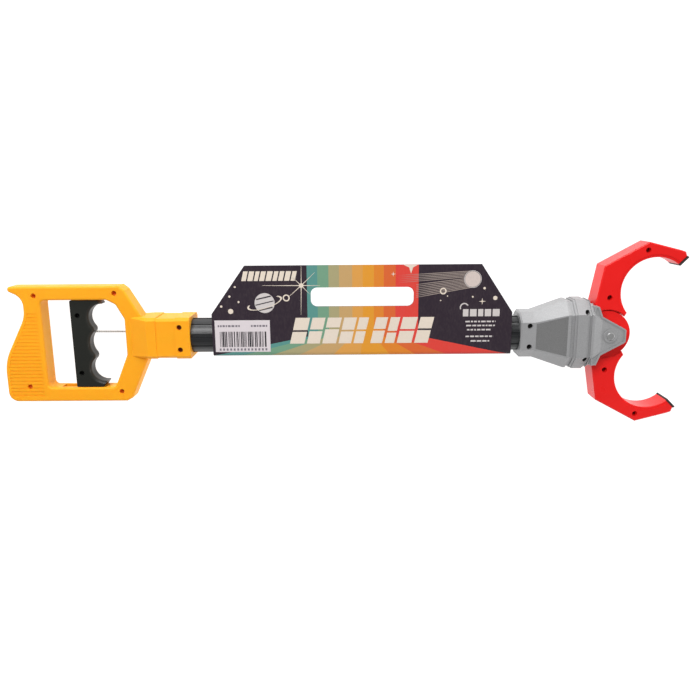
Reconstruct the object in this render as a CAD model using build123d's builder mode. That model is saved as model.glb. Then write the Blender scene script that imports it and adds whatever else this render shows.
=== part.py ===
"""Toy claw grabber, lying on its back: a pull trigger closes two hooked claws.

Frame: +X runs along the tube from the handle to the claws, +Y is the side on which the
card header stands up from the tube, and +Z is up, the direction in which the toy is thin.
The origin is under the middle of the toy, on the surface it lies on. Lengths are
millimetres. A "height" below is measured from the tube's axis, not from the table.
"""

import os
from math import atan2, cos, degrees, hypot, radians, sin

from build123d import *

# ---- driving dimensions -------------------------------------------------------------

OVERALL_LENGTH = 457.0          # eighteen inches, grip to claw pads
HEAD_DEPTH = 32.4               # across the head's raised band, on which the toy rests
AXIS_Z = HEAD_DEPTH / 2         # the tube's axis and every parting line
LEFT_END = -OVERALL_LENGTH / 2
RUN = 0.3                       # gap that keeps moving neighbours apart
WALL = 2.0                      # wall of the handle and head shells
EDGE_R = 1.5                    # rounding of the handle's outer edges

# motion
TRIGGER_TRAVEL = 12.0
CLAW_ANGLE = 45.0               # each claw closes by this much

# claws, in X and Y from the pivot
HOOK_X = 30.0                   # centre of the hook's inner arc
HOOK_Y = 28.6
HOOK_R = 22.6
HOOK_TIP_ANGLE = 52.0           # where the inner arc ends, seen from its centre
PAD_ANGLE = 45.4                # direction in which the pad's face runs
PAD_WIDTH = 7.7
PAD_THICKNESS = 1.4
PAD_HALF = 8.0
CLAW_HALF = 8.25                # half the thickness of a claw
CLAW_WALL = 1.8
REBATE_WIDTH = 1.8              # shallow step along the hook's inner edge
REBATE_DEPTH = 0.35
CLAW_SCREWS = ((0.2, 24.6), (23.2, 55.8))
TIP_X = HOOK_X + HOOK_R * cos(radians(HOOK_TIP_ANGLE))
TIP_Y = HOOK_Y + HOOK_R * sin(radians(HOOK_TIP_ANGLE))
PAD_X = TIP_X + PAD_THICKNESS * sin(radians(PAD_ANGLE))
PAD_Y = TIP_Y - PAD_THICKNESS * cos(radians(PAD_ANGLE))
CLAW_REACH = PAD_X + PAD_WIDTH * cos(radians(PAD_ANGLE))
PIVOT_X = OVERALL_LENGTH / 2 - CLAW_REACH

# claw hubs: one disc in front of the parting plane, one behind, on one pin
HUB_R = 15.7
HUB_CLEAR_R = 16.2              # a claw's body stops here, clear of the other's hub
HUB_BOTTOM = 0.15
HUB_TOP = 7.2
PIN_R = 2.0
PIN_RUN = 0.05                  # radial running clearance of pin and hub
PIN_HEAD_R = 2.6
PIN_HEAD = 0.9

# drive yoke, in X from the pivot
DRIVE_X = 9.0                   # the drive pins stand this far behind the pivot
DRIVE_Y = 5.5
DRIVE_PIN_R = 1.6
SLOT_HALF = 1.7
TAIL_HALF = 2.8
YOKE_BACK = PIVOT_X - 32.0
YOKE_FRONT = PIVOT_X - 28.0
YOKE_TIP = PIVOT_X - DRIVE_X + 2.6
YOKE_HALF_Y = 11.4
YOKE_IN = 7.5
YOKE_OUT = 9.5
YOKE_POCKET = 2.2               # depth and radius of the pocket for the cord's ferrule
YOKE_POCKET_R = 2.1

# tube
TUBE_R = 11.7
TUBE_BORE_R = 9.9
TUBE_START = -130.5
TUBE_END = 129.0
FLUTES = 10
FLUTE_WIDTH = 1.8
FLUTE_DEPTH = 0.6

# handle
HANDLE_HALF = 7.0
BAR_TOP = 34.6
BAR_BOTTOM = -44.7
GRIP_BACK = ((LEFT_END, BAR_BOTTOM), (LEFT_END, -16.6), (-212.3, 14.0), (-212.3, 27.0),
             (-221.6, 31.4), (-221.6, BAR_TOP))
GRIP_RADII = (6.5, 35.0, 20.0, 9.0, 1.7, 1.7)
GAP_LEFT = -200.5
GAP_RIGHT = -145.2
GAP_TOP = 25.3
GAP_BOTTOM = -35.0
RIB_PITCH = 2.45
RIBS = 24
RIB_DEPTH = 0.35
RIBBED_RIGHT = -203.4
NECK_START = -141.0
NECK_FULL = -129.0              # the neck reaches its full depth here
NECK_WAIST = (-123.0, -110.0)   # shallow waist between the neck's two rings
NECK_END = -100.4
NECK_HALF_Y = 13.9
NECK_HALF_Z = 13.6
NECK_FLAT_Y = 11.9
NECK_FLAT_Z = 11.4
WAIST_DEPTH = 0.5
HANDLE_SCREWS = ((-204.3, 28.4), (-150.6, 29.8), (-213.1, -34.2), (-150.5, -37.8))
NECK_SCREWS = ((-107.1, 7.6), (-107.1, -7.6))

# head
HEAD_START = 119.2
HEAD_BEVEL = 1.0                # round the collar's open end
COLLAR_END = 128.5
SHOULDER = 150.0
BAND = (155.8, 162.6)
GROOVES = ((151.6, 154.2), (163.6, 165.4))
GROOVE_DEPTH = 0.9
BAND_RISE = 0.6
BODY_END = 167.1
NOSE_END = 172.4
CAVITY_START = 131.2
SLOT_HALF_Z = 8.65              # half the gap in which the claws swing
SLOT_START = PIVOT_X - 12.6
EAR_TIP = PIVOT_X + 10.3
EAR_TOP = 14.4
EAR_FLOOR = 12.0
EAR_WALL = 1.8
EAR_RIM = 1.1                   # raised border along the ear's edge
EAR_RIM_RISE = 0.5
BOSS_R = 5.5
BOSS_IN = 7.4
RING_R = 4.4
RING_RISE = 0.7
HEAD_SCREWS_REAR = ((125.0, 7.0), (125.0, -7.0))
HEAD_SCREWS_FRONT = ((162.4, 15.8), (162.4, -15.8))
HEAD_POST_R = 2.2               # the claws' tails pass close to these posts

# the head's octagonal sections: half height, half depth, half flat height, half flat depth
COLLAR_SECTION = (15.4, 14.2, 9.3, 6.2)
BODY_SECTION = (22.9, 15.6, 14.3, 6.8)
NOSE_SECTION = (13.2, 14.4, 11.0, 7.6)

# screws
SHANK_R = 1.2
SCREW_HEAD_R = 1.65
SCREW_HEAD = 1.5
RECESS_R = 1.75
POST_R = 3.1

# trigger
TRIGGER_HALF = 5.6
TRIGGER_WALL = 1.8
TRIGGER_BACK = -181.4
TRIGGER_TOP = GAP_TOP - RUN
TRIGGER_BOTTOM = GAP_BOTTOM + RUN
FINGER_EDGE_R = 2.5             # rounding along the finger grooves
TRIGGER_SCREWS = ((-176.9, 14.7), (-177.3, -25.1))
LUG = (-180.0, -164.0)
LUG_HALF_Z = 3.0
LUG_REACH = 4.4

# pull cord: one straight run from the trigger to the yoke
CORD_R = 0.6
CORD_START = (-172.0, 2.9, AXIS_Z)
CORD_END = (YOKE_FRONT - YOKE_POCKET, 0, AXIS_Z)
FERRULE_R = 1.9
FERRULE = 2.0
BUSH_Y = 2.6                    # where the cord crosses the wall of the hand opening
BUSH_R = 1.8
BUSH_FLANGE_R = 3.0
BUSH_FLANGE = 1.5

# return spring and its seat in the end of the tube
SPRING_R = 4.0
SPRING_WIRE_R = 0.4
SPRING_TURNS = 10
SPRING_HOLE_R = 5.6             # hole in the head's stop wall that the spring passes
SEAT_END = 119.6
SEAT_LENGTH = 5.0

# card sleeve
CARD = 0.5
CARD_HALF = TUBE_R + 0.15 + CARD
CARD_FOLD_R = 2.5
CARD_TOP = 48.0
CARD_SHOULDER = 16.2
CARD_ENDS = (-85.4, 113.2)
CARD_TOP_ENDS = (-62.6, 92.2)
CARD_JOIN = 19.0                # above this the two layers are glued together
HANG_SLOT_X = (-19.6, 48.0)
HANG_SLOT_Y = (20.9, 33.4)
HANG_SLOT_R = 4.2
LABEL_X = (-83.6, -47.0)
LABEL_Y = (-9.4, 12.0)
LABEL = 0.2


# ---- planes and shared helpers ------------------------------------------------------

def level(height):
    """Plane parallel to the table, at a height above the tube's axis."""
    return Plane.XY.offset(AXIS_Z + height)


def across(x):
    """Plane across the tube at x: its own x is the toy's Y and its own y is the toy's Z."""
    return Plane(origin=(x, 0, AXIS_Z), x_dir=(0, 1, 0), z_dir=(1, 0, 0))


MID_PLANE = level(0)
MID_HEIGHT_PLANE = Plane.XZ     # between the upper and the lower claw


def from_pivot(points):
    """Points given from the pivot, moved to the toy's frame."""
    return [(PIVOT_X + x, y) for x, y in points]


def polar(radius, angle):
    """Point at a radius and a direction in degrees."""
    return (radius * cos(radians(angle)), radius * sin(radians(angle)))


def span(x_range, y_range):
    """Rectangle between two x and two y values, as a sketch on the XY plane."""
    with BuildSketch() as sketch:
        with Locations(((x_range[0] + x_range[1]) / 2, (y_range[0] + y_range[1]) / 2)):
            Rectangle(x_range[1] - x_range[0], y_range[1] - y_range[0])
    return sketch.sketch


def slab(x_range, y_range, heights):
    """Block between two x values, two y values and two heights."""
    with BuildPart() as block:
        with BuildSketch(level(heights[0])):
            add(span(x_range, y_range))
        extrude(amount=heights[1] - heights[0])
    return block.part


def discs(places, radius, heights):
    """Upright cylinders at several places, between two heights."""
    with BuildPart() as cylinders:
        with BuildSketch(level(heights[0])):
            with Locations(*places):
                Circle(radius)
        extrude(amount=heights[1] - heights[0])
    return cylinders.part


def rod(start, end, radius):
    """Straight round rod between two points in space."""
    run = Vector(*end) - Vector(*start)
    with BuildPart() as cylinder:
        with BuildSketch(Plane(origin=start, z_dir=run)):
            Circle(radius)
        extrude(amount=run.length)
    return cylinder.part


def along_x(x_range, y, radius):
    """Round rod parallel to the tube, at a Y of its own and at the axis's height."""
    return rod((x_range[0], y, AXIS_Z), (x_range[1], y, AXIS_Z), radius)


def mirrored(piece, plane):
    """The piece's mirror image in a plane."""
    with BuildPart() as image:
        mirror(piece, about=plane)
    return image.part


def on_cord(x):
    """Point of the cord's line at x."""
    share = (x - CORD_START[0]) / (CORD_END[0] - CORD_START[0])
    return (x, CORD_START[1] + share * (CORD_END[1] - CORD_START[1]), AXIS_Z)


def keep(name, piece):
    """Label a finished piece and write it under its own name."""
    piece.label = name
    export_step(piece, f"parts/{name}.step")


# ---- screws -------------------------------------------------------------------------

def screws(places, seat, length):
    """Cross-head screws whose heads stand on the seat height."""
    with BuildPart() as group:
        add(discs(places, SCREW_HEAD_R, (seat, seat + SCREW_HEAD)))
        with BuildSketch(level(seat + SCREW_HEAD)):
            with Locations(*places):
                Rectangle(2.2, 0.5)
                Rectangle(0.5, 2.2)
        extrude(amount=-0.7, mode=Mode.SUBTRACT)
        add(discs(places, SHANK_R, (seat - length, seat)))
    return group.part


def screw_holes(places, seat, length, face):
    """What the screws need: a recess from the face to the seat and a bore below it."""
    with BuildPart() as holes:
        add(discs(places, RECESS_R, (seat, face + 1)))
        add(discs(places, SHANK_R, (seat - length, seat)))
    return holes.part


HANDLE_SCREW_SET = (HANDLE_SCREWS, 3.0, 8.2, HANDLE_HALF)
NECK_SCREW_SET = (NECK_SCREWS, 10.4, 22.6, NECK_HALF_Z)
HEAD_REAR_SCREW_SET = (HEAD_SCREWS_REAR, 10.7, 23.2, COLLAR_SECTION[1])
HEAD_FRONT_SCREW_SET = (HEAD_SCREWS_FRONT, 9.0, 18.0, BODY_SECTION[1] + BAND_RISE)
TRIGGER_SCREW_SET = (TRIGGER_SCREWS, 1.6, 5.8, TRIGGER_HALF)
CLAW_SCREW_SET = (from_pivot(CLAW_SCREWS), 3.0, 8.5, CLAW_HALF)


# ---- handle -------------------------------------------------------------------------

def handle_silhouette():
    """Saw-style handle without its hand opening, as a sketch on the XY plane."""
    with BuildSketch() as silhouette:
        with BuildLine():
            Polyline(*GRIP_BACK, (-147.5, BAR_TOP), (-144.0, 31.8), (-131.5, 10.0),
                     (-131.5, -16.0), (-143.6, -42.6), (-147.4, BAR_BOTTOM), close=True)
        make_face()
        for (x, y), radius in zip(GRIP_BACK, GRIP_RADII):
            fillet(silhouette.vertices().sort_by_distance((x, y, 0))[0], radius=radius)
    return silhouette.sketch


def handle_gap(growth):
    """Hand opening of the handle, made larger all round, as a sketch on the XY plane."""
    with BuildSketch() as gap:
        with BuildLine():
            Polyline((GAP_LEFT, GAP_TOP), (-156.6, GAP_TOP), (-150.6, 22.2),
                     (GAP_RIGHT, 12.3), (GAP_RIGHT, -12.3), (-154.8, GAP_BOTTOM),
                     (GAP_LEFT, GAP_BOTTOM), close=True)
        make_face()
        fillet(gap.vertices(), radius=3.0)
        if growth:
            offset(amount=growth, mode=Mode.REPLACE)
    return gap.sketch


def handle_outline(inset):
    """Handle with its hand opening, a wall moved in by an inset, as a sketch."""
    with BuildSketch() as outline:
        add(handle_silhouette())
        if inset:
            offset(amount=-inset, mode=Mode.REPLACE)
        add(handle_gap(inset), mode=Mode.SUBTRACT)
    return outline.sketch


def handle_ribbed():
    """Part of the grip's face that carries the ribs, as a sketch on the XY plane."""
    with BuildSketch() as ribbed:
        add(handle_silhouette())
        offset(amount=-EDGE_R - 1, mode=Mode.REPLACE)
        add(span((LEFT_END, RIBBED_RIGHT), (BAR_BOTTOM, BAR_TOP)), mode=Mode.INTERSECT)
    return ribbed.sketch


def handle_neck():
    """Octagonal neck that grips the tube, with its ramp up from the handle's face."""
    with BuildPart() as neck:
        with BuildSketch(across(NECK_START)):
            add(octagon((NECK_HALF_Y, HANDLE_HALF, NECK_HALF_Y - 1, HANDLE_HALF - 1)))
        with BuildSketch(across(NECK_FULL)):
            add(octagon((NECK_HALF_Y, NECK_HALF_Z, NECK_FLAT_Y, NECK_FLAT_Z)))
        loft(ruled=True)
        with BuildSketch(across(NECK_FULL)):
            add(octagon((NECK_HALF_Y, NECK_HALF_Z, NECK_FLAT_Y, NECK_FLAT_Z)))
        extrude(amount=NECK_END - NECK_FULL)
        with BuildSketch(across(NECK_WAIST[0])):
            add(octagon((NECK_HALF_Y + 1, NECK_HALF_Z + 1, NECK_FLAT_Y + 1, NECK_FLAT_Z + 1)))
            add(octagon((NECK_HALF_Y - WAIST_DEPTH, NECK_HALF_Z - WAIST_DEPTH,
                         NECK_FLAT_Y - 0.2, NECK_FLAT_Z - 0.2)), mode=Mode.SUBTRACT)
        extrude(amount=NECK_WAIST[1] - NECK_WAIST[0], mode=Mode.SUBTRACT)
    return neck.part


def handle_shell():
    """Front half of the handle, before its screw holes."""
    with BuildPart() as cavity:
        with BuildSketch(MID_PLANE):
            add(handle_outline(WALL))
        extrude(amount=HANDLE_HALF - WALL)
        add(discs(HANDLE_SCREWS, POST_R, (0, HANDLE_HALF)), mode=Mode.SUBTRACT)
    with BuildPart() as shell:
        with BuildSketch(MID_PLANE):
            add(handle_outline(0))
        extrude(amount=HANDLE_HALF)
        fillet(shell.faces().sort_by(Axis.Z)[-1].edges(), EDGE_R)
        with BuildSketch(level(HANDLE_HALF)):
            with Locations((-214, (BAR_TOP + BAR_BOTTOM) / 2 - 7)):
                with GridLocations(0, RIB_PITCH, 1, RIBS):
                    Rectangle(40, RIB_PITCH * 0.4)
            add(handle_ribbed(), mode=Mode.INTERSECT)
        extrude(amount=-RIB_DEPTH, mode=Mode.SUBTRACT)
        add(cavity.part, mode=Mode.SUBTRACT)
        add(handle_neck())
        add(slab((-240, -90), (-60, 60), (-20, 0)), mode=Mode.SUBTRACT)
        add(along_x((TUBE_START, NECK_END + 1), 0, TUBE_R), mode=Mode.SUBTRACT)
        add(along_x((GAP_RIGHT - 1, GAP_RIGHT + WALL), BUSH_Y, BUSH_R), mode=Mode.SUBTRACT)
        add(rod(on_cord(GAP_RIGHT), on_cord(TUBE_START + 1), CORD_R + 0.9), mode=Mode.SUBTRACT)
        for low, high in ((GAP_TOP - 1, GAP_TOP + 5), (GAP_BOTTOM - 5, GAP_BOTTOM + 1)):
            add(slab((LUG[0] - TRIGGER_TRAVEL - 0.5, LUG[1] + 0.5), (low, high),
                     (-1, LUG_HALF_Z + RUN)), mode=Mode.SUBTRACT)
    return shell.part


def cord_guide():
    """Flanged bush that carries the cord through the wall of the opening."""
    with BuildPart() as bush:
        add(along_x((GAP_RIGHT, GAP_RIGHT + WALL), BUSH_Y, BUSH_R))
        add(along_x((GAP_RIGHT + WALL, GAP_RIGHT + WALL + BUSH_FLANGE), BUSH_Y,
                    BUSH_FLANGE_R))
        add(along_x((GAP_RIGHT - 1, GAP_RIGHT + WALL + BUSH_FLANGE + 1), BUSH_Y,
                    CORD_R + 0.5), mode=Mode.SUBTRACT)
    return bush.part


# ---- tube ---------------------------------------------------------------------------

def tube():
    """Fluted plastic tube, cross-drilled for the screws at both ends."""
    with BuildPart() as body:
        with BuildSketch(across(TUBE_START)):
            Circle(TUBE_R)
            with PolarLocations(TUBE_R, FLUTES, start_angle=9):
                Rectangle(2 * FLUTE_DEPTH, FLUTE_WIDTH, mode=Mode.SUBTRACT)
            Circle(TUBE_BORE_R, mode=Mode.SUBTRACT)
        extrude(amount=TUBE_END - TUBE_START)
        crossings = NECK_SCREWS + HEAD_SCREWS_REAR
        add(discs(crossings, SHANK_R + 0.2, (-TUBE_R, TUBE_R)), mode=Mode.SUBTRACT)
    return body.part


def spring_seat():
    """Plug in the tube that the return spring pushes against."""
    with BuildPart() as plug:
        add(along_x((SEAT_END - SEAT_LENGTH, SEAT_END), 0, TUBE_BORE_R))
        add(rod(on_cord(SEAT_END - SEAT_LENGTH - 1), on_cord(SEAT_END + 1), CORD_R + 0.4),
            mode=Mode.SUBTRACT)
    return plug.part


# ---- head ---------------------------------------------------------------------------

def octagon(section):
    """Chamfered rectangle from its half sizes and the halves of its flats."""
    half_y, half_z, flat_y, flat_z = section
    quarter = [(flat_y, half_z), (half_y, flat_z)]
    right = quarter + [(y, -z) for y, z in reversed(quarter)]
    left = [(-y, -z) for y, z in right]
    with BuildSketch() as sketch:
        with BuildLine():
            Polyline(*right, *left, close=True)
        make_face()
    return sketch.sketch


def grown(section, amount):
    """Section moved out by an amount, or in by a negative one."""
    half_y, half_z, flat_y, flat_z = section
    return (half_y + amount, half_z + amount, flat_y + 0.45 * amount, flat_z + 0.55 * amount)


def between(first, second, share):
    """Section part of the way from the first to the second."""
    return tuple(a + share * (b - a) for a, b in zip(first, second))


def tapered(x_range, first, second):
    """Straight-sided solid between two octagonal sections."""
    with BuildPart() as solid:
        with BuildSketch(across(x_range[0])):
            add(octagon(first))
        with BuildSketch(across(x_range[1])):
            add(octagon(second))
        loft(ruled=True)
    return solid.part


def ear_outline(inset):
    """The head's tapering ear, as a sketch on the XY plane."""
    upper = [(SLOT_START + 1, 20.0), (NOSE_END - 2.6, 19.6), (NOSE_END, 13.0),
             (EAR_TIP - 1.0, 4.8), (EAR_TIP, 3.8)]
    lower = [(x, -y) for x, y in reversed(upper)]
    with BuildSketch() as sketch:
        with BuildLine():
            Polyline(*upper, *lower, close=True)
        make_face()
        if inset:
            offset(amount=-inset, kind=Kind.INTERSECTION, mode=Mode.REPLACE)
    return sketch.sketch


def head_skin():
    """Outside of the head, both halves in one."""
    with BuildPart() as skin:
        add(tapered((HEAD_START, HEAD_START + HEAD_BEVEL),
                    grown(COLLAR_SECTION, -HEAD_BEVEL), COLLAR_SECTION))
        add(tapered((HEAD_START + HEAD_BEVEL, COLLAR_END), COLLAR_SECTION, COLLAR_SECTION))
        add(tapered((COLLAR_END, SHOULDER), COLLAR_SECTION, BODY_SECTION))
        add(tapered((SHOULDER, BODY_END), BODY_SECTION, BODY_SECTION))
        add(tapered((BODY_END, NOSE_END), BODY_SECTION, NOSE_SECTION))
        add(tapered(BAND, grown(BODY_SECTION, BAND_RISE), grown(BODY_SECTION, BAND_RISE)))
        for groove in GROOVES:
            with BuildSketch(across(groove[0])):
                add(octagon(grown(BODY_SECTION, 2)))
                add(octagon(grown(BODY_SECTION, -GROOVE_DEPTH)), mode=Mode.SUBTRACT)
            extrude(amount=groove[1] - groove[0], mode=Mode.SUBTRACT)
        with BuildSketch(level(-EAR_TOP)):
            add(ear_outline(0))
        extrude(amount=2 * EAR_TOP)
        with BuildSketch(level(-EAR_TOP - EAR_RIM_RISE)):
            add(ear_outline(0))
            add(ear_outline(EAR_RIM), mode=Mode.SUBTRACT)
        extrude(amount=2 * (EAR_TOP + EAR_RIM_RISE))
        add(discs([(PIVOT_X, 0)], RING_R, (-EAR_TOP - RING_RISE, EAR_TOP + RING_RISE)))
    return skin.part


def head_cavity():
    """Room inside the head, with the screw posts and the yoke's rails left standing."""
    share = (CAVITY_START - COLLAR_END) / (SHOULDER - COLLAR_END)
    inside_start = grown(between(COLLAR_SECTION, BODY_SECTION, share), -WALL)
    inside_body = grown(BODY_SECTION, -WALL)
    with BuildPart() as cavity:
        add(tapered((CAVITY_START, SHOULDER), inside_start, inside_body))
        add(tapered((SHOULDER, SLOT_START), inside_body, inside_body))
        add(discs(HEAD_SCREWS_FRONT, HEAD_POST_R, (-20, 20)), mode=Mode.SUBTRACT)
        for side in (1, -1):
            rail_y = sorted((side * (YOKE_HALF_Y + RUN), side * (YOKE_HALF_Y + RUN + 1.2)))
            for facing in (1, -1):
                heights = sorted((facing * (YOKE_IN + 0.3), facing * 20))
                add(slab((CAVITY_START, SLOT_START - 6), rail_y, heights),
                    mode=Mode.SUBTRACT)
    return cavity.part


def head():
    """Whole head with the slot for the claws, before it is split and drilled."""
    with BuildPart() as body:
        add(head_skin())
        add(head_cavity(), mode=Mode.SUBTRACT)
        add(slab((SLOT_START, EAR_TIP + 5), (-30, 30), (-SLOT_HALF_Z, SLOT_HALF_Z)),
            mode=Mode.SUBTRACT)
        for heights in ((SLOT_HALF_Z - 1, EAR_FLOOR), (-EAR_FLOOR, 1 - SLOT_HALF_Z)):
            with BuildSketch(level(heights[0])):
                add(ear_outline(EAR_WALL))
            extrude(amount=heights[1] - heights[0], mode=Mode.SUBTRACT)
        for heights in ((BOSS_IN, EAR_FLOOR), (-EAR_FLOOR, -BOSS_IN)):
            add(discs([(PIVOT_X, 0)], BOSS_R, heights))
        add(discs([(PIVOT_X, 0)], PIN_R, (-20, 20)), mode=Mode.SUBTRACT)
        add(along_x((HEAD_START - 1, TUBE_END), 0, TUBE_R), mode=Mode.SUBTRACT)
        add(along_x((TUBE_END - 1, CAVITY_START + 1), 0, SPRING_HOLE_R), mode=Mode.SUBTRACT)
        add(slab((SLOT_START - 1, YOKE_TIP + 0.5), (-YOKE_HALF_Y - RUN, YOKE_HALF_Y + RUN),
                 (-YOKE_OUT - RUN, YOKE_OUT + RUN)), mode=Mode.SUBTRACT)
        for screw_set in (HEAD_REAR_SCREW_SET, HEAD_FRONT_SCREW_SET):
            add(screw_holes(*screw_set), mode=Mode.SUBTRACT)
    return body.part


def head_half(whole, side):
    """Front or back half of the head."""
    with BuildPart() as half:
        add(whole)
        split(bisect_by=MID_PLANE, keep=side)
    return half.part


def pivot_pin():
    """Pin with a domed head in front, on which both claws turn."""
    head_foot = EAR_TOP + RING_RISE
    with BuildPart() as pin:
        add(discs([(PIVOT_X, 0)], PIN_R, (-head_foot, head_foot)))
        add(discs([(PIVOT_X, 0)], PIN_HEAD_R, (head_foot, head_foot + PIN_HEAD)))
        fillet(pin.faces().sort_by(Axis.Z)[-1].edges(), PIN_HEAD * 0.8)
    return pin.part


def push_nut():
    """Spring washer pushed on the pin's back end."""
    with BuildPart() as nut:
        add(discs([(PIVOT_X, 0)], 3.4, (-EAR_TOP - RING_RISE - 0.5, -EAR_TOP - RING_RISE)))
        add(discs([(PIVOT_X, 0)], 2.9, (-EAR_TOP - RING_RISE - 0.9, -EAR_TOP - RING_RISE)))
    return nut.part


# ---- drive: yoke, pins, spring, cord ------------------------------------------------

def yoke():
    """U-shaped slider: two plates that straddle the claws' tails, joined by a block."""
    with BuildPart() as body:
        add(slab((YOKE_BACK, YOKE_FRONT), (-YOKE_HALF_Y, YOKE_HALF_Y),
                 (-YOKE_OUT, YOKE_OUT)))
        for heights in ((YOKE_IN, YOKE_OUT), (-YOKE_OUT, -YOKE_IN)):
            add(slab((YOKE_FRONT, YOKE_TIP), (-YOKE_HALF_Y, YOKE_HALF_Y), heights))
        fillet(body.edges().filter_by(Axis.Z).group_by(Axis.X)[-1], 2.4)
        add(discs([(PIVOT_X - DRIVE_X, DRIVE_Y)], DRIVE_PIN_R, (-20, 0)), mode=Mode.SUBTRACT)
        add(discs([(PIVOT_X - DRIVE_X, -DRIVE_Y)], DRIVE_PIN_R, (0, 20)), mode=Mode.SUBTRACT)
        add(rod(on_cord(YOKE_BACK - 1), on_cord(YOKE_FRONT), CORD_R + 0.2),
            mode=Mode.SUBTRACT)
        add(rod(on_cord(YOKE_FRONT - YOKE_POCKET), on_cord(YOKE_FRONT + 1), YOKE_POCKET_R),
            mode=Mode.SUBTRACT)
    return body.part


def drive_pins():
    """Steel pins in the yoke: one drives each claw's tail from its own side."""
    with BuildPart() as pins:
        add(discs([(PIVOT_X - DRIVE_X, DRIVE_Y)], DRIVE_PIN_R, (-YOKE_OUT, -RUN)))
        add(discs([(PIVOT_X - DRIVE_X, -DRIVE_Y)], DRIVE_PIN_R, (RUN, YOKE_OUT)))
    return pins.part


def return_spring():
    """Compression spring between its seat and the yoke, with closed flat ends."""
    length = YOKE_BACK - SEAT_END
    with BuildPart() as coil:
        with BuildLine() as path:
            Helix(pitch=(length - 2 * SPRING_WIRE_R) / SPRING_TURNS,
                  height=length - 2 * SPRING_WIRE_R, radius=SPRING_R,
                  center=(SEAT_END + SPRING_WIRE_R, 0, AXIS_Z), direction=(1, 0, 0))
        with BuildSketch(path.line ^ 0):
            Circle(SPRING_WIRE_R)
        sweep(is_frenet=True)
    return coil.part


def cord_ferrule(start_x):
    """Crimped ferrule on one end of the cord."""
    return rod(on_cord(start_x), on_cord(start_x + FERRULE), FERRULE_R)


# ---- trigger ------------------------------------------------------------------------

def trigger_outline():
    """Pistol-style trigger with three finger grooves, as a sketch on the XY plane."""
    with BuildSketch() as outline:
        with BuildLine():
            Polyline((-160.6, 22.3), (-163.4, TRIGGER_TOP), (TRIGGER_BACK, TRIGGER_TOP),
                     (TRIGGER_BACK, TRIGGER_BOTTOM), (-163.4, TRIGGER_BOTTOM),
                     (-160.6, -30.8))
            ThreePointArc((-160.6, 22.3), (-169.9, 14.8), (-165.2, 4.7))
            ThreePointArc((-165.2, 4.7), (-170.6, -4.6), (-165.8, -14.0))
            ThreePointArc((-165.8, -14.0), (-171.0, -22.8), (-160.6, -30.8))
        make_face()
        crests = outline.vertices().filter_by_position(Axis.Y, -15, 6)
        fillet(crests.filter_by_position(Axis.X, -167, -163), radius=3.4)
        fillet(outline.vertices().group_by(Axis.X)[0], radius=1.0)
    return outline.sketch


def trigger_shell():
    """Front half of the trigger, before its screw holes."""
    outline = trigger_outline()
    with BuildPart() as cavity:
        with BuildSketch(MID_PLANE):
            add(outline)
            offset(amount=-TRIGGER_WALL, mode=Mode.REPLACE)
        extrude(amount=TRIGGER_HALF - TRIGGER_WALL)
        add(discs(TRIGGER_SCREWS, POST_R, (0, TRIGGER_HALF)), mode=Mode.SUBTRACT)
        add(slab((CORD_START[0], -160), (-2, 8), (-1, TRIGGER_HALF)), mode=Mode.SUBTRACT)
    with BuildPart() as shell:
        with BuildSketch(MID_PLANE):
            add(outline)
        extrude(amount=TRIGGER_HALF)
        grooves = shell.faces().sort_by(Axis.Z)[-1].edges().filter_by(GeomType.CIRCLE)
        fillet(grooves.filter_by_position(Axis.X, -171, -158), FINGER_EDGE_R)
        add(cavity.part, mode=Mode.SUBTRACT)
        for low, high in ((TRIGGER_TOP - 1, TRIGGER_TOP + LUG_REACH),
                          (TRIGGER_BOTTOM - LUG_REACH, TRIGGER_BOTTOM + 1)):
            add(slab(LUG, (low, high), (0, LUG_HALF_Z)))
        add(rod(on_cord(CORD_START[0] - 1), on_cord(-150), CORD_R + 0.2), mode=Mode.SUBTRACT)
        add(rod(on_cord(CORD_START[0] - FERRULE - 1), CORD_START, FERRULE_R + 0.2),
            mode=Mode.SUBTRACT)
    return shell.part


# ---- claws --------------------------------------------------------------------------

def pad_corner(along, behind):
    """Point on the pad: its place along the face and behind the face."""
    run = radians(PAD_ANGLE)
    return (PAD_X + along * cos(run) - behind * sin(run),
            PAD_Y + along * sin(run) + behind * cos(run))


def claw_outline(root_r):
    """Upper claw from its root arc round the hook, as a sketch on the XY plane."""
    root_back = polar(root_r, 130)
    root_tip = polar(root_r, 47)
    spike = (12.4, 14.4)
    tip_outer = pad_corner(PAD_WIDTH - 0.4, PAD_THICKNESS)
    hook_left = (HOOK_X - HOOK_R, HOOK_Y)
    with BuildSketch() as outline:
        with BuildLine():
            Polyline(*from_pivot([root_back, (-4.5, 45.8), (23.7, 61.2), (45.2, 55.6),
                                  (48.0, 54.6), tip_outer, (TIP_X, TIP_Y)]))
            ThreePointArc(*from_pivot([(TIP_X, TIP_Y), hook_left, spike]))
            Line(*from_pivot([spike, root_tip]))
            ThreePointArc(*from_pivot([root_tip, polar(root_r, 90), root_back]))
        make_face()
    return outline.sketch


def tail_path():
    """Cam line of the upper claw's tail: the drive pin's places seen from the claw.

    The pin moves straight back while the claw turns in proportion, so a constant ratio
    of claw angle to trigger travel is built into the line.
    """
    steps = 8
    points = []
    for step in range(steps + 1):
        share = step / steps
        x = -DRIVE_X - share * TRIGGER_TRAVEL
        angle = degrees(atan2(DRIVE_Y, x)) + share * CLAW_ANGLE
        points.append(polar(hypot(x, DRIVE_Y), angle))
    with BuildLine() as line:
        Spline(*from_pivot(points))
    return line.edges()[0]


def groove_along(line, half_width):
    """Round-ended band that follows a line, as a sketch on the XY plane."""
    with BuildSketch() as band:
        with BuildLine():
            add(line)
        trace(line_width=2 * half_width)
        with Locations(line @ 0, line @ 1):
            Circle(half_width)
    return band.sketch


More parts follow.
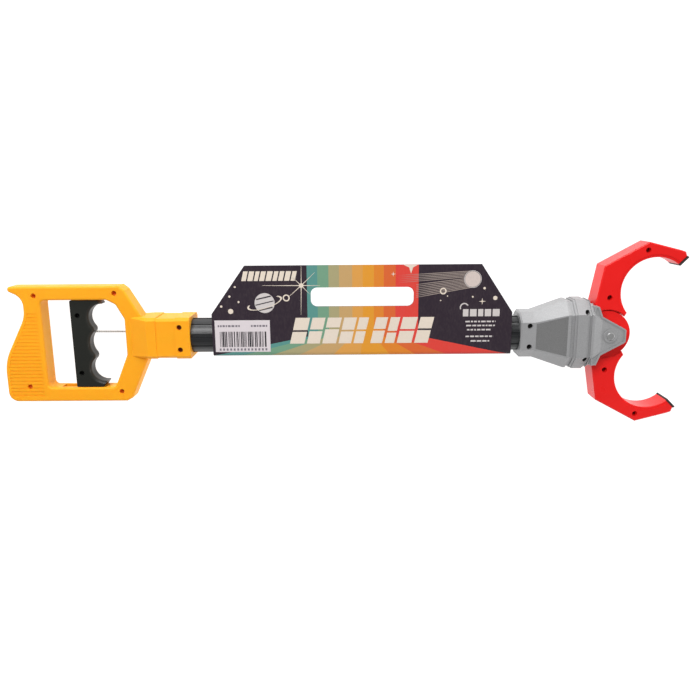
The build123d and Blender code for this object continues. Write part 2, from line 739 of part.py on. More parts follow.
def claw_root():
    """Part of the claw's body that stands over its own hub, as a sketch."""
    with BuildSketch() as root:
        add(claw_outline(HUB_CLEAR_R - 3))
        with Locations((PIVOT_X, 0)):
            Circle(HUB_CLEAR_R + CLAW_WALL, mode=Mode.INTERSECT)
    return root.sketch


def claw_shell(has_hub):
    """Front-side half of the upper claw, with or without a hub, before its screw holes."""
    with BuildPart() as cavity:
        with BuildSketch(MID_PLANE):
            add(claw_outline(HUB_CLEAR_R))
            offset(amount=-CLAW_WALL, kind=Kind.INTERSECTION, mode=Mode.REPLACE)
        extrude(amount=CLAW_HALF - CLAW_WALL)
        add(discs(from_pivot(CLAW_SCREWS), POST_R, (0, CLAW_HALF)), mode=Mode.SUBTRACT)
    with BuildPart() as shell:
        with BuildSketch(MID_PLANE):
            add(claw_outline(HUB_CLEAR_R))
        extrude(amount=CLAW_HALF)
        chamfer(shell.faces().sort_by(Axis.Z)[-1].edges(), 0.7)
        add(discs(from_pivot([(HOOK_X, HOOK_Y)]), HOOK_R + REBATE_WIDTH,
                  (CLAW_HALF - REBATE_DEPTH, CLAW_HALF + 1)), mode=Mode.SUBTRACT)
        add(cavity.part, mode=Mode.SUBTRACT)
        if has_hub:
            with BuildSketch(level(HUB_BOTTOM)):
                with Locations((PIVOT_X, 0)):
                    Circle(HUB_R)
                add(claw_root())
                add(groove_along(tail_path(), TAIL_HALF))
            extrude(amount=HUB_TOP - HUB_BOTTOM)
            with BuildSketch(MID_PLANE):
                add(groove_along(tail_path(), SLOT_HALF))
                with Locations((PIVOT_X, 0)):
                    Circle(PIN_R + PIN_RUN)
            extrude(amount=HUB_TOP + 1, mode=Mode.SUBTRACT)
    return shell.part


def claw_pad():
    """Soft pad glued on the end of the upper claw."""
    corners = [pad_corner(0, 0), pad_corner(PAD_WIDTH, 0),
               pad_corner(PAD_WIDTH, PAD_THICKNESS), pad_corner(0, PAD_THICKNESS)]
    with BuildPart() as pad:
        with BuildSketch(level(-PAD_HALF)):
            with BuildLine():
                Polyline(*from_pivot(corners), close=True)
            make_face()
        extrude(amount=2 * PAD_HALF)
    return pad.part


def drilled(piece, screw_set):
    """The piece with a screw set's holes cut in it."""
    with BuildPart() as result:
        add(piece)
        add(screw_holes(*screw_set), mode=Mode.SUBTRACT)
    return result.part


def bored(piece, screw_set):
    """The piece with only the screws' shank bores cut in it."""
    places, seat, length, _ = screw_set
    with BuildPart() as result:
        add(piece)
        add(discs(places, SHANK_R, (seat - length, seat)), mode=Mode.SUBTRACT)
    return result.part


# ---- card sleeve --------------------------------------------------------------------

def sleeve_section(inset):
    """Folded sleeve round the tube, as a sketch: its x is the toy's Y, its y the height."""
    with BuildSketch() as sketch:
        with BuildLine():
            Polyline((CARD_JOIN, CARD_HALF), (-CARD_HALF, CARD_HALF),
                     (-CARD_HALF, -CARD_HALF), (9.4, -CARD_HALF), close=True)
        make_face()
        folds = sketch.vertices().sort_by(Axis.X)[:-1]
        fillet(folds, radius=CARD_FOLD_R)
        if inset:
            offset(amount=-inset, kind=Kind.INTERSECTION, mode=Mode.REPLACE)
    return sketch.sketch


def header_card():
    """Printed card folded round the tube, with a glued header and a hanging slot."""
    with BuildPart() as card:
        with BuildSketch(across(CARD_ENDS[0])):
            add(sleeve_section(0))
            add(span((CARD_JOIN - 3, CARD_TOP), (CARD_HALF - 2 * CARD, CARD_HALF)))
            add(sleeve_section(CARD), mode=Mode.SUBTRACT)
        extrude(amount=CARD_ENDS[1] - CARD_ENDS[0])
        with BuildSketch(level(-20)):
            with BuildLine():
                Polyline((CARD_ENDS[0], -20), (CARD_ENDS[0], CARD_SHOULDER),
                         (CARD_TOP_ENDS[0], CARD_TOP), (CARD_TOP_ENDS[1], CARD_TOP),
                         (CARD_ENDS[1], CARD_SHOULDER), (CARD_ENDS[1], -20), close=True)
            make_face()
        extrude(amount=40, mode=Mode.INTERSECT)
        with BuildSketch(level(-20)):
            with Locations((sum(HANG_SLOT_X) / 2, sum(HANG_SLOT_Y) / 2)):
                RectangleRounded(HANG_SLOT_X[1] - HANG_SLOT_X[0],
                                 HANG_SLOT_Y[1] - HANG_SLOT_Y[0], HANG_SLOT_R)
        extrude(amount=40, mode=Mode.SUBTRACT)
    return card.part


# ---- build and write ----------------------------------------------------------------

os.makedirs("parts", exist_ok=True)

handle_front = handle_shell()
handle_back = mirrored(handle_front, MID_PLANE)
for screw_set in (HANDLE_SCREW_SET, NECK_SCREW_SET):
    handle_front = drilled(handle_front, screw_set)
    handle_back = bored(handle_back, screw_set)
keep("handle_shell_front", handle_front)
keep("handle_shell_back", handle_back)
keep("handle_screws", screws(*HANDLE_SCREW_SET[:3]))
keep("neck_screws", screws(*NECK_SCREW_SET[:3]))
keep("cord_guide_bush", cord_guide())

keep("tube", tube())
keep("spring_seat", spring_seat())

head_body = head()
keep("head_shell_front", head_half(head_body, Keep.TOP))
keep("head_shell_back", head_half(head_body, Keep.BOTTOM))
keep("head_rear_screws", screws(*HEAD_REAR_SCREW_SET[:3]))
keep("head_front_screws", screws(*HEAD_FRONT_SCREW_SET[:3]))
keep("pivot_pin", pivot_pin())
keep("pivot_push_nut", push_nut())

keep("drive_yoke", yoke())
keep("drive_pins", drive_pins())
keep("return_spring", return_spring())
keep("pull_cord", rod(CORD_START, CORD_END, CORD_R))
keep("trigger_cord_ferrule", cord_ferrule(CORD_START[0] - FERRULE))
keep("yoke_cord_ferrule", cord_ferrule(CORD_END[0]))

trigger_front = trigger_shell()
keep("trigger_shell_front", drilled(trigger_front, TRIGGER_SCREW_SET))
keep("trigger_shell_back", bored(mirrored(trigger_front, MID_PLANE), TRIGGER_SCREW_SET))
keep("trigger_screws", screws(*TRIGGER_SCREW_SET[:3]))

plain_half = claw_shell(has_hub=False)
hub_half = claw_shell(has_hub=True)
upper = {
    "claw_shell_front": drilled(plain_half, CLAW_SCREW_SET),
    "claw_shell_back": bored(mirrored(hub_half, MID_PLANE), CLAW_SCREW_SET),
    "claw_screws": screws(*CLAW_SCREW_SET[:3]),
    "claw_pad": claw_pad(),
}
lower = {
    "claw_shell_front": drilled(hub_half, CLAW_SCREW_SET),
    "claw_shell_back": bored(mirrored(plain_half, MID_PLANE), CLAW_SCREW_SET),
    "claw_screws": screws(*CLAW_SCREW_SET[:3]),
    "claw_pad": claw_pad(),
}
for name, piece in upper.items():
    keep(f"upper_{name}", piece)
for name, piece in lower.items():
    keep(f"lower_{name}", mirrored(piece, MID_HEIGHT_PLANE))

keep("header_card", header_card())
keep("bar_label", slab(LABEL_X, LABEL_Y, (CARD_HALF, CARD_HALF + LABEL)))
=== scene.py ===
"""Look of the toy claw grabber: materials, the card's print, light and camera.

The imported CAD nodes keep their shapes. What is added is printed ink on the card and its
label, as thin closed plates, and a wound wire that stands for the return spring. Lengths
are metres, apart from the print's outlines and what Graph.axes gives, which are
millimetres.
"""

import random
from math import cos, pi, radians, sin

import bmesh
import bpy
from mathutils import Matrix, Vector

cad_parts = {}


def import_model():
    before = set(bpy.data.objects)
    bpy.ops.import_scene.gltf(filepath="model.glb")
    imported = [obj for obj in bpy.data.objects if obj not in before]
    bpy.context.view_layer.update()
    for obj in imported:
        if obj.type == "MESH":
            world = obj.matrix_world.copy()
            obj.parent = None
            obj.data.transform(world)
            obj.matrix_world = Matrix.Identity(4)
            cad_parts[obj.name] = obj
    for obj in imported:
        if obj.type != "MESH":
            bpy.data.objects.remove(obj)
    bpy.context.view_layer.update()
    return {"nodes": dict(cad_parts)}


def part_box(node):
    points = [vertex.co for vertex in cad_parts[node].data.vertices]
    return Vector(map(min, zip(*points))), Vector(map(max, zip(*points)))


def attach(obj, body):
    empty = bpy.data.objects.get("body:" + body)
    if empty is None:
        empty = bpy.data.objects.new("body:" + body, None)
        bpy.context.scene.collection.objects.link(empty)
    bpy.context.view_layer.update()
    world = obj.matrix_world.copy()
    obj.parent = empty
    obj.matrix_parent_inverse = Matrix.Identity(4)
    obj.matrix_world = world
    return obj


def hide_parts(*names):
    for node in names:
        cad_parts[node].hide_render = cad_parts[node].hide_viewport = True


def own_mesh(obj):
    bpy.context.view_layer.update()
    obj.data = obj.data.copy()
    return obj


MM = 0.001
SHARP_EDGE = radians(28)        # faces that meet at more than this keep a sharp edge

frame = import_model()


# ---- colours and node shorthand ------------------------------------------------------

def paint(red, green, blue):
    """Linear colour from an eight-bit display colour."""
    def linear(value):
        share = value / 255
        return share / 12.92 if share <= 0.04045 else ((share + 0.055) / 1.055) ** 2.4
    return (linear(red), linear(green), linear(blue), 1.0)


def shaded(colour, factor):
    """The colour made darker or lighter, kept inside the range."""
    return tuple(min(1.0, channel * factor) for channel in colour[:3]) + (1.0,)


class Graph:
    """Short-hand for building one material's nodes."""

    def __init__(self, name):
        self.material = bpy.data.materials.new(name)
        self.material.use_nodes = True
        self.tree = self.material.node_tree
        self.shader = self.tree.nodes["Principled BSDF"]
        coords = self.tree.nodes.new("ShaderNodeTexCoord")
        self.place = coords.outputs["Object"]

    def put(self, socket, value):
        """Link or set one input."""
        if isinstance(value, bpy.types.NodeSocket):
            self.tree.links.new(value, socket)
        else:
            socket.default_value = value

    def math(self, operation, *values, clamp=False):
        node = self.tree.nodes.new("ShaderNodeMath")
        node.operation = operation
        node.use_clamp = clamp
        for socket, value in zip(node.inputs, values):
            self.put(socket, value)
        return node.outputs[0]

    def stretched(self, scale):
        """Object coordinates scaled per axis."""
        node = self.tree.nodes.new("ShaderNodeMapping")
        self.put(node.inputs["Vector"], self.place)
        node.inputs["Scale"].default_value = scale
        return node.outputs[0]

    def noise(self, scale, detail=3.0, rough=0.5, vector=None):
        node = self.tree.nodes.new("ShaderNodeTexNoise")
        self.put(node.inputs["Vector"], vector or self.place)
        node.inputs["Scale"].default_value = scale
        node.inputs["Detail"].default_value = detail
        node.inputs["Roughness"].default_value = rough
        return node.outputs["Fac"]

    def spread(self, value, low, high, to_low=0.0, to_high=1.0):
        """Map a value's range to another, clamped."""
        node = self.tree.nodes.new("ShaderNodeMapRange")
        for socket, number in zip(node.inputs, (value, low, high, to_low, to_high)):
            self.put(socket, number)
        return node.outputs[0]

    def mix(self, share, first, second, blend="MIX"):
        node = self.tree.nodes.new("ShaderNodeMix")
        node.data_type = "RGBA"
        node.blend_type = blend
        self.put(node.inputs[0], share)
        self.put(node.inputs[6], first)
        self.put(node.inputs[7], second)
        return node.outputs[2]

    def ramp(self, value, stops):
        """Colour bands with hard edges."""
        node = self.tree.nodes.new("ShaderNodeValToRGB")
        ramp = node.color_ramp
        ramp.interpolation = "CONSTANT"
        while len(ramp.elements) < len(stops):
            ramp.elements.new(1.0)
        for element, (position, colour) in zip(ramp.elements, stops):
            element.position = position
            element.color = colour
        self.put(node.inputs[0], value)
        return node.outputs[0]

    def bump(self, height, distance, under=None):
        node = self.tree.nodes.new("ShaderNodeBump")
        node.inputs["Strength"].default_value = 1.0
        node.inputs["Distance"].default_value = distance
        self.put(node.inputs["Height"], height)
        if under:
            self.put(node.inputs["Normal"], under)
        return node.outputs[0]

    def axes(self):
        """Object coordinates in millimetres, as three values."""
        node = self.tree.nodes.new("ShaderNodeSeparateXYZ")
        self.put(node.inputs[0], self.place)
        return [self.math("MULTIPLY", output, 1 / MM) for output in node.outputs]

    def facing(self):
        """The surface's own direction, as three values."""
        geometry = self.tree.nodes.new("ShaderNodeNewGeometry")
        node = self.tree.nodes.new("ShaderNodeSeparateXYZ")
        self.put(node.inputs[0], geometry.outputs["True Normal"])
        return list(node.outputs)

    def set(self, **sockets):
        """Set or link the shader's inputs; an underscore stands for a space."""
        for name, value in sockets.items():
            self.put(self.shader.inputs[name.replace("_", " ")], value)


# ---- materials -----------------------------------------------------------------------

def moulded(name, colour, rough, mottle=0.04, grain=1500.0, grain_depth=0.012, scuffs=0.05,
            sheen=0.5):
    """Moulded plastic: faint flow mottling, fine texture, handling marks in the gloss."""
    g = Graph(name)
    flow = g.noise(26.0, detail=4.0, rough=0.6, vector=g.stretched((0.5, 1.0, 1.0)))
    tone = g.mix(g.spread(flow, 0.3, 0.7), shaded(colour, 1 - mottle),
                 shaded(colour, 1 + mottle))
    marks = g.noise(1600.0, detail=2.0, vector=g.stretched((1.0, 0.05, 0.3)))
    marks = g.spread(marks, 0.68, 0.80)
    worn = g.math("MULTIPLY", marks, scuffs)
    tone = g.mix(worn, tone, shaded(colour, 1.4))
    smears = g.spread(g.noise(60.0, detail=5.0, rough=0.6), 0.3, 0.7,
                      rough - 0.03, rough + 0.05)
    rough_all = g.math("ADD", smears, g.math("MULTIPLY", marks, 0.06), clamp=True)
    texture = g.bump(g.noise(grain, rough=0.6), grain_depth * MM)
    sink = g.bump(g.noise(40.0, detail=1.0), 0.05 * MM, texture)
    g.set(Base_Color=tone, Roughness=rough_all, Normal=sink, Specular_IOR_Level=sheen)
    return g


def brushed(name, colour, rough, metallic=1.0):
    """Plated steel with fine turning marks and tarnish."""
    g = Graph(name)
    tarnish = g.spread(g.noise(600.0, detail=4.0, rough=0.6), 0.35, 0.7)
    tone = g.mix(tarnish, shaded(colour, 0.72), colour)
    marks = g.noise(3500.0, detail=2.0, vector=g.stretched((1.0, 0.08, 1.0)))
    g.set(Base_Color=tone, Metallic=metallic, Normal=g.bump(marks, 0.006 * MM),
          Roughness=g.spread(tarnish, 0.0, 1.0, rough + 0.12, rough))
    return g


PANEL_X = (129.2, 149.6)        # head's panel along the tube, painted darker as shade, mm
PANEL_HALF = (8.4, 13.4)        # its half width at those two places, mm
FLAT_FACE = 0.97                # a face that points up or down has at least this much Z


def head_plastic():
    """Silver-grey paint with fine flake, and painted shade: the panel on the taper is painted
    darker.
    """
    g = moulded("head_silver", paint(158, 158, 159), 0.44, mottle=0.05, scuffs=0.08)
    x, y, _ = g.axes()
    half = g.spread(x, *PANEL_X, *PANEL_HALF)
    inside = g.math("MULTIPLY", g.math("GREATER_THAN", x, PANEL_X[0]),
                    g.math("LESS_THAN", x, PANEL_X[1]))
    inside = g.math("MULTIPLY", inside,
                    g.math("LESS_THAN", g.math("ABSOLUTE", y), half))
    up = g.facing()[2]
    inside = g.math("MULTIPLY", inside,
                    g.math("GREATER_THAN", g.math("ABSOLUTE", up), FLAT_FACE))
    plain = g.shader.inputs["Base Color"].links[0].from_socket
    flake = g.spread(g.noise(2600.0, detail=2.0, rough=0.7), 0.35, 0.65, 0.86, 1.14)
    # painted shade: the sloping panel's flat faces get a darker grey
    tone = g.mix(inside, plain, paint(124, 124, 124))
    tone = g.mix(1.0, tone, flake, "MULTIPLY")
    g.set(Base_Color=tone, Metallic=0.25)
    return g


def cord_fibre():
    """Twisted pale cord: strands run round it on a slant."""
    g = Graph("cord_twist")
    x, _, z = g.axes()
    along, across = 5.2, 3.4    # turns of the strands' phase, radians per mm
    slant = g.math("ADD", g.math("MULTIPLY", x, along), g.math("MULTIPLY", z, across))
    strands = g.math("SINE", slant)
    fuzz = g.noise(5200.0, rough=0.7)
    tone = g.mix(g.spread(strands, -1.0, 1.0), paint(150, 148, 144), paint(222, 220, 214))
    tone = g.mix(g.math("MULTIPLY", fuzz, 0.3), tone, paint(120, 116, 112))
    g.set(Base_Color=tone, Roughness=0.8, Normal=g.bump(strands, 0.09 * MM))
    return g


NAVY = paint(46, 36, 46)
# where each band starts on the header, mm, and its colour
STRIPES = (
    (-22.3, paint(86, 142, 135)), (-15.3, paint(112, 153, 126)), (-8.0, paint(164, 156, 116)),
    (-1.2, paint(192, 156, 104)), (7.4, paint(214, 153, 74)), (14.5, paint(219, 148, 46)),
    (21.5, paint(217, 128, 43)), (28.3, paint(212, 99, 48)), (35.7, paint(216, 66, 57)),
    (50.7, NAVY),
)
STRIPES_MM = (-40.0, 70.0)      # part of the card that the colour ramp covers
FAN_CENTRE = 15.5               # x that the bands fan out from, mm
FAN_START = 0.8                 # y below which they fan out, mm
FAN_RATE = 1.475 / 11.2         # widening for each mm below that


def card_bands(g, x, y):
    """Colour of the card's bands, which run down the header and fan out at its foot."""
    below = g.math("MAXIMUM", g.math("SUBTRACT", FAN_START, y), 0.0)
    widening = g.math("MULTIPLY_ADD", below, FAN_RATE, 1.0)
    across = g.math("DIVIDE", g.math("SUBTRACT", x, FAN_CENTRE), widening)
    across = g.math("ADD", across, FAN_CENTRE)
    share = g.spread(across, *STRIPES_MM)
    width = STRIPES_MM[1] - STRIPES_MM[0]
    stops = [(0.0, NAVY)]
    stops += [((start - STRIPES_MM[0]) / width, colour) for start, colour in STRIPES]
    return g.ramp(share, stops)


def card_print():
    """Printed card: navy, with the coloured bands on its face."""
    g = Graph("card_ink")
    x, y, _ = g.axes()
    bands = card_bands(g, x, y)
    front = g.math("GREATER_THAN", g.facing()[2], 0.5)
    tone = g.mix(front, NAVY, bands)
    # ink density varies a little with the card's fibres
    fibres = g.noise(900.0, detail=4.0, rough=0.7, vector=g.stretched((1.0, 0.35, 1.0)))
    tone = g.mix(g.spread(fibres, 0.45, 0.8, 0.0, 0.07), tone, paint(150, 138, 132))
    wave = g.bump(g.noise(22.0, detail=2.0), 0.25 * MM, g.bump(fibres, 0.01 * MM))
    g.set(Base_Color=tone, Normal=wave, Specular_IOR_Level=0.25,
          Roughness=g.spread(g.noise(80.0, detail=4.0, rough=0.6), 0.3, 0.7, 0.42, 0.54))
    return g


def ink(name, colour, rough=0.45, worn=0.16):
    """Light ink printed on card, a little uneven."""
    g = Graph(name)
    patchy = g.noise(700.0, detail=5.0, rough=0.75)
    tone = g.mix(g.spread(patchy, 0.35, 0.75, 0.0, worn), colour, shaded(colour, 0.55))
    g.set(Base_Color=tone, Roughness=g.spread(patchy, 0.3, 0.7, rough - 0.06, rough + 0.08),
          Normal=g.bump(patchy, 0.006 * MM))
    return g


def fading_ink(name, colour, strong_x, gone_x):
    """Ink over the card's bands that thins out between two x values in mm."""
    g = Graph(name)
    x, y, _ = g.axes()
    dots = g.noise(1500.0, rough=0.7)
    strength = g.spread(x, gone_x, strong_x)
    patchy = g.math("MULTIPLY", strength, g.spread(dots, 0.3, 0.7, 0.75, 1.0))
    g.set(Base_Color=g.mix(patchy, card_bands(g, x, y), colour), Roughness=0.5,
          Specular_IOR_Level=0.25, Normal=g.bump(dots, 0.004 * MM))
    return g


def pad_rubber():
    """Soft pad with an open, speckled skin."""
    g = Graph("pad_foam")
    pores = g.noise(2400.0, detail=4.0, rough=0.7)
    tone = g.mix(g.spread(pores, 0.35, 0.65), paint(34, 27, 25), paint(62, 51, 47))
    g.set(Base_Color=tone, Roughness=0.82, Normal=g.bump(pores, 0.07 * MM))
    return g


def tube_plastic():
    """Extruded black plastic: draw lines along the tube."""
    g = Graph("tube_black")
    lines = g.noise(1400.0, rough=0.6, vector=g.stretched((0.02, 1.0, 1.0)))
    tone = g.mix(g.spread(lines, 0.3, 0.7), paint(26, 27, 29), paint(44, 45, 47))
    dust = g.spread(g.noise(900.0, detail=4.0, rough=0.7), 0.66, 0.8, 0.0, 0.18)
    tone = g.mix(dust, tone, paint(100, 100, 100))
    g.set(Base_Color=tone, Roughness=g.spread(lines, 0.3, 0.7, 0.26, 0.36),
          Normal=g.bump(lines, 0.012 * MM))
    return g


ORANGE = moulded("handle_orange", paint(253, 168, 34), 0.42, mottle=0.03, scuffs=0.03,
                 sheen=0.15)
ORANGE.set(Subsurface_Weight=0.25, Subsurface_Scale=0.004, Subsurface_Radius=(1.0, 0.45, 0.1))
RED = moulded("claw_red", paint(232, 30, 28), 0.30, mottle=0.04, scuffs=0.06, sheen=0.25)
RED.set(Coat_Weight=0.08, Coat_Roughness=0.15)
BLACK = moulded("trigger_black", paint(38, 39, 36), 0.30, mottle=0.10, scuffs=0.04, sheen=0.2)
SILVER = head_plastic()
NATURAL = moulded("inner_natural", paint(222, 220, 210), 0.5)
STEEL = brushed("plated_steel", paint(190, 190, 188), 0.3)
DARK_STEEL = brushed("dark_steel", paint(52, 50, 50), 0.35, metallic=0.8)
# painted light: the handle screws get the orange glow that the translucent handle throws on
# them
ORANGE_GLOW_SCREW = brushed("screw_steel", paint(255, 132, 44), 0.6, metallic=0.0)
# painted reflection: the claw screws are tinted red for the red holes they sit in
RED_REFLECTION_SCREW = brushed("claw_screw_steel", paint(168, 44, 46), 0.5, metallic=0.2)
# painted shade and orange reflection: the neck screws sit deep in the orange neck and are
# painted dark brown-red
NECK_SHADE_GLOW_SCREW = brushed("neck_screw_steel", paint(116, 52, 30), 0.45, metallic=0.5)
PIN_STEEL = brushed("pin_steel", paint(178, 178, 178), 0.32, metallic=0.6)

FINISH = {
    "handle_shell_front": ORANGE, "handle_shell_back": ORANGE,
    "handle_screws": ORANGE_GLOW_SCREW, "neck_screws": NECK_SHADE_GLOW_SCREW,
    "cord_guide_bush": NATURAL, "spring_seat": NATURAL, "drive_yoke": NATURAL,
    "tube": tube_plastic(),
    "head_shell_front": SILVER, "head_shell_back": SILVER,
    "head_rear_screws": DARK_STEEL, "head_front_screws": DARK_STEEL,
    "pivot_pin": PIN_STEEL, "pivot_push_nut": STEEL,
    "drive_pins": STEEL, "return_spring": STEEL,
    "pull_cord": cord_fibre(),
    "trigger_cord_ferrule": STEEL, "yoke_cord_ferrule": STEEL,
    "trigger_shell_front": BLACK, "trigger_shell_back": BLACK, "trigger_screws": DARK_STEEL,
    "header_card": card_print(),
    "bar_label": ink("label_paper", paint(214, 205, 208), 0.6, 0.05),
}
PAD = pad_rubber()
for side in ("upper", "lower"):
    FINISH[f"{side}_claw_shell_front"] = RED
    FINISH[f"{side}_claw_shell_back"] = RED
    FINISH[f"{side}_claw_screws"] = RED_REFLECTION_SCREW
    FINISH[f"{side}_claw_pad"] = PAD

for name, node in frame["nodes"].items():
    for material_slot in node.material_slots:
        material_slot.material = FINISH[name].material
    node.data.shade_smooth()
    node.data.set_sharp_from_angle(angle=SHARP_EDGE)


# ---- return spring -------------------------------------------------------------------

COIL_TURNS = 10
COIL_STEPS = 22                 # points of the wire's line in each turn
WIRE_SIDES = 8
WIRE_R = 0.4 * MM


def coil():
    """Return spring as a wire wound in a helix, carried on the frame."""
    low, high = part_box("return_spring")
    middle = (low + high) / 2
    radius = (high.y - low.y) / 2 - WIRE_R
    start, run = low.x + WIRE_R, high.x - low.x - 2 * WIRE_R
    mesh = bmesh.new()
    rings = []
    total = COIL_TURNS * COIL_STEPS
    for step in range(total + 1):
        turn = 2 * pi * step / COIL_STEPS
        outward = Vector((0, cos(turn), sin(turn)))
        centre = Vector((start + run * step / total, middle.y, middle.z)) + outward * radius
        points = []
        for side in range(WIRE_SIDES):
            angle = 2 * pi * side / WIRE_SIDES
            points.append(mesh.verts.new(
                centre + outward * (WIRE_R * cos(angle)) + Vector((WIRE_R * sin(angle), 0, 0))))
        rings.append(points)
    for first, last in zip(rings, rings[1:]):
        for side in range(WIRE_SIDES):
            after = (side + 1) % WIRE_SIDES
            mesh.faces.new((first[side], first[after], last[after], last[side]))
    mesh.faces.new(rings[0])
    mesh.faces.new(rings[-1])
    bmesh.ops.recalc_face_normals(mesh, faces=mesh.faces)
    data = bpy.data.meshes.new("return_coil")
    mesh.to_mesh(data)
    mesh.free()
    data.materials.append(STEEL.material)
    piece = bpy.data.objects.new("return_coil", data)
    bpy.context.scene.collection.objects.link(piece)
    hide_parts("return_spring")
    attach(piece, "frame")
    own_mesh(piece)


coil()


# ---- print on the card ---------------------------------------------------------------

CARD_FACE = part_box("header_card")[1].z
LABEL_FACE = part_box("bar_label")[1].z
INK = 0.04 * MM                 # how far the ink stands over the face
SINK = 0.02 * MM                # how far it reaches into it
LAYER = 0.01 * MM               # extra height of ink that lies on other ink
LEAN = 0.24                     # how far the blocks lean to the right, for each mm up


def disc(centre, radius, sides=28):
    """Outline of a disc in millimetres."""
    angles = [2 * pi * step / sides for step in range(sides)]
    return [(centre[0] + radius * cos(angle), centre[1] + radius * sin(angle))
            for angle in angles]


def stroke(start, end, width, end_width=None):
    """Outline of a straight line with a width at each end, in millimetres."""
    run = Vector(end) - Vector(start)
    side = Vector((-run.y, run.x)).normalized()
    first, last = side * width / 2, side * (width if end_width is None else end_width) / 2
    start, end = Vector(start), Vector(end)
    return [tuple(start + first), tuple(start - first), tuple(end - last), tuple(end + last)]


def star(centre, reach, waist):
    """Outline of a four-pointed star in millimetres."""
    outline = []
    for step in range(8):
        radius = reach if step % 2 == 0 else waist
        angle = pi / 2 + pi * step / 4
        outline.append((centre[0] + radius * cos(angle), centre[1] + radius * sin(angle)))
    return outline


def ring(centre, radius, width, sides=28):
    """Short plates that make up a ring, in millimetres."""
    plates = []
    for step in range(sides):
        first, last = (2 * pi * (step + part) / sides for part in (0, 1))
        plates.append([(centre[0] + r * cos(a), centre[1] + r * sin(a))
                       for r, a in ((radius - width / 2, first), (radius + width / 2, first),
                                    (radius + width / 2, last), (radius - width / 2, last))])
    return plates


def leaning(left, low, width, height, lean=LEAN):
    """Outline of a block that leans to the right, in millimetres."""
    shift = lean * height
    return [(left, low), (left + width, low), (left + width + shift, low + height),
            (left + shift, low + height)]


def dashes(y, start, end, lengths, gap, width):
    """Strokes of random length along one line, in millimetres."""
    outlines = []
    x = start
    while x < end:
        length = random.uniform(*lengths)
        outlines.append(stroke((x, y), (min(x + length, end), y), width))
        x += length + gap
    return outlines


def printed(name, outlines, material, face, lift=0.0):
    """One piece of ink: thin closed plates on the card, in the plane of its face."""
    mesh = bmesh.new()
    for outline in outlines:
        low = [mesh.verts.new((x * MM, y * MM, face - SINK)) for x, y in outline]
        high = [mesh.verts.new((x * MM, y * MM, face + INK + lift)) for x, y in outline]
        faces = [mesh.faces.new(high), mesh.faces.new(list(reversed(low)))]
        for here in range(len(low)):
            after = (here + 1) % len(low)
            faces.append(mesh.faces.new((low[here], low[after], high[after], high[here])))
    bmesh.ops.recalc_face_normals(mesh, faces=mesh.faces)
    data = bpy.data.meshes.new(name)
    mesh.to_mesh(data)
    mesh.free()
    data.materials.append(material.material)
    piece = bpy.data.objects.new(name, data)
    bpy.context.scene.collection.objects.link(piece)
    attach(piece, "frame")


CREAM = ink("cream_ink", paint(226, 212, 196))
PALE = ink("pale_ink", paint(205, 198, 196))
GREY = ink("comet_ink", paint(211, 196, 189), worn=0.3)
SHADE = ink("shade_ink", paint(52, 46, 52), worn=0.05)
BAR_INK = ink("bar_ink", paint(40, 36, 42), worn=0.05)

# stars, sparkles and two rings; each star has its place and radius
STARS = ((-69.2, 34.1, 0.65), (-73.0, 27.9, 0.75), (-67.1, 24.2, 0.7), (-78.7, 21.3, 0.8),
         (-72.6, 18.0, 1.7), (94.3, 32.2, 0.8), (101.6, 25.7, 1.4), (86.8, 26.6, 0.6),
         (65.7, 24.3, 0.45), (-71.2, 37.3, 0.4), (70.2, 27.2, 0.4))
printed("card_stars", [disc((x, y), radius) for x, y, radius in STARS], CREAM, CARD_FACE)
# half of a large sparkle, cut off by the header's upper edge
HALF_SPARKLE = [(41.0, 47.9), (44.8, 46.2), (46.1, 42.2), (47.4, 46.2), (50.6, 47.9)]
printed("card_sparkles", [star((93.1, 23.5), 2.3, 0.5), star((34.5, 41.9), 1.7, 0.4),
                          HALF_SPARKLE], CREAM, CARD_FACE)
printed("card_rings", ring((-35.7, 26.7), 1.9, 0.8) + ring((67.3, 30.5), 1.8, 0.8),
        CREAM, CARD_FACE, lift=3 * LAYER)

# rays of the large star
HUB = (-25.7, 34.8)
RAYS = ((-51.3, 34.95), (-13.4, 34.7), (-25.5, 47.6), (-26.2, 15.4), (-16.8, 43.3),
        (-20.4, 29.4), (-34.6, 26.9), (-31.2, 40.2))
RAY_WIDTH = (0.55, 0.14)        # at the hub and at the tip
printed("card_rays", [stroke(HUB, end, *RAY_WIDTH) for end in RAYS], CREAM, CARD_FACE)
printed("card_ray_hub", [disc(HUB, 1.5)], CREAM, CARD_FACE, lift=LAYER)

# comet: round head and a tail of fine lines that spread to the left and fade out
COMET = (86.5, 38.2)
COMET_R = 5.1
TAIL_LINES = 13
TAIL_HIGH, TAIL_SPREAD = 40.9, 14.4     # y of the top line's end, and how far the ends spread
TAIL_END = 36.0
SLOT_TOP, SLOT_END = 35.0, 49.6         # lines under this y stop here, beside the hang slot
tail = []
for line in range(TAIL_LINES):
    share = line / (TAIL_LINES - 1)
    start = (COMET[0] - 0.6, COMET[1] + COMET_R * (1 - 2 * share) * 1.04)
    end_y = TAIL_HIGH - share * TAIL_SPREAD
    end = (TAIL_END if end_y > SLOT_TOP else SLOT_END, end_y)
    tail.append(stroke(start, end, 0.52, 0.5))
printed("card_comet_tail", tail, fading_ink("tail_ink", paint(162, 148, 140), 60.0, 37.0),
        CARD_FACE)
printed("card_comet_rim", ring(COMET, COMET_R + 0.45, 0.35), PALE, CARD_FACE, lift=LAYER)
printed("card_comet_head", [disc(COMET, COMET_R, sides=40)], GREY, CARD_FACE, lift=2 * LAYER)

